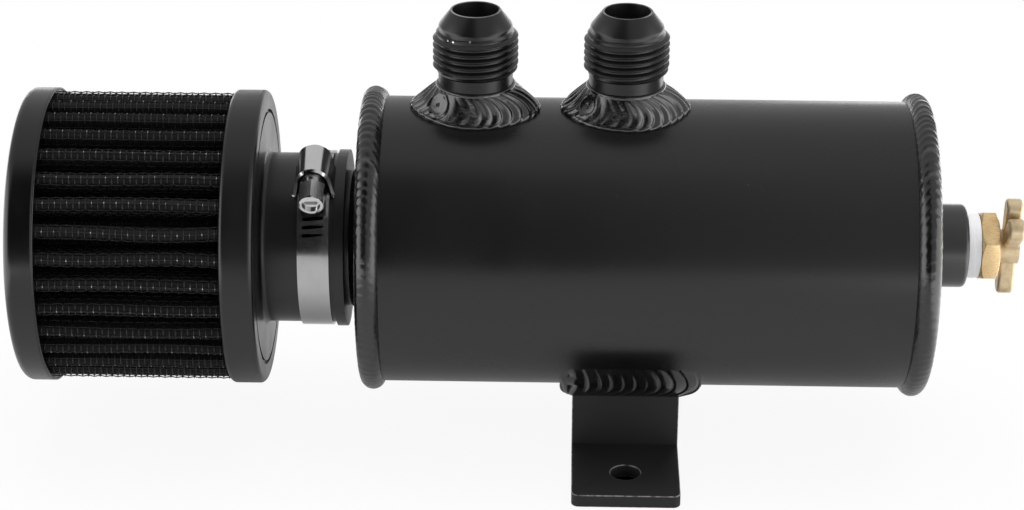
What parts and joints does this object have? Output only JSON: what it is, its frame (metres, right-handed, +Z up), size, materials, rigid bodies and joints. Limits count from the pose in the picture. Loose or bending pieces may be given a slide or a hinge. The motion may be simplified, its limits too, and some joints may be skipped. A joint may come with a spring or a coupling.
{
  "type": "oil catch can",
  "caption": "Black cylindrical oil catch can with flared hose ports, a clamp-on breather filter, a brass drain valve and an L mounting bracket.",
  "frame": {"origin": "centre of the bracket's bolt hole at the underside of the foot", "axes": "+X along the can from the filter to the drain, +Z up out of the hose ports, -Z down the bolt hole, -Y out past the foot"},
  "size_m": [0.2638, 0.0867, 0.1205],
  "materials": {
    "black_aluminium": "satin black anodised",
    "black_weld": "rippled weld bead under satin black",
    "brass": "machined",
    "handle_brass": "cast, slightly dull",
    "white_tape": "thin wound seal tape",
    "black_rubber": "moulded, semi-gloss",
    "filter_cloth": "black pleated cotton",
    "black_wire": "black coated wire mesh",
    "clamp_steel": "bright stainless"
  },
  "bodies": {
    "can_assembly": {"can_tube": "black_aluminium", "filter_end_plate": "black_aluminium", "drain_end_plate": "black_aluminium", "filter_end_weld": "black_weld", "drain_end_weld": "black_weld", "spigot_weld": "black_weld", "drain_bung_weld": "black_weld", "inlet_weld": "black_weld", "outlet_weld": "black_weld", "bracket_weld": "black_weld", "baffle_plate": "black_aluminium", "filter_spigot": "black_aluminium", "inlet_fitting": "black_aluminium", "outlet_fitting": "black_aluminium", "mounting_bracket": "black_aluminium", "drain_bung": "black_aluminium", "drain_valve_body": "brass", "thread_seal_tape": "white_tape", "filter_base": "black_rubber", "filter_cap": "black_rubber", "pleated_media": "filter_cloth", "wire_screen": "black_wire", "clamp_band": "clamp_steel", "clamp_housing": "clamp_steel"},
    "drain_stem": {"drain_stem": "brass"},
    "drain_handle": {"drain_handle": "handle_brass"},
    "clamp_screw": {"clamp_screw": "clamp_steel"}
  },
  "joints": [
    {"name": "drain_stem_slide", "type": "slide", "parent": "can_assembly", "child": "drain_stem", "axis": [1, 0, 0], "range_m": [0, 0.00176]},
    {"name": "drain_handle_turn", "type": "hinge", "parent": "drain_stem", "child": "drain_handle", "pos_m": [0.0987, 0.0333, 0.0555], "axis": [1, 0, 0], "range_deg": [0, 450]},
    {"name": "clamp_screw_turn", "type": "hinge", "parent": "can_assembly", "child": "clamp_screw", "pos_m": [-0.08225, 0.0217, 0.08038], "axis": [0, -0.9063, -0.4226], "continuous": true}
  ],
  "couplings": [
    {"joint": "drain_stem_slide", "follows": "drain_handle_turn", "m_per_rad": 0.00022459}
  ]
}
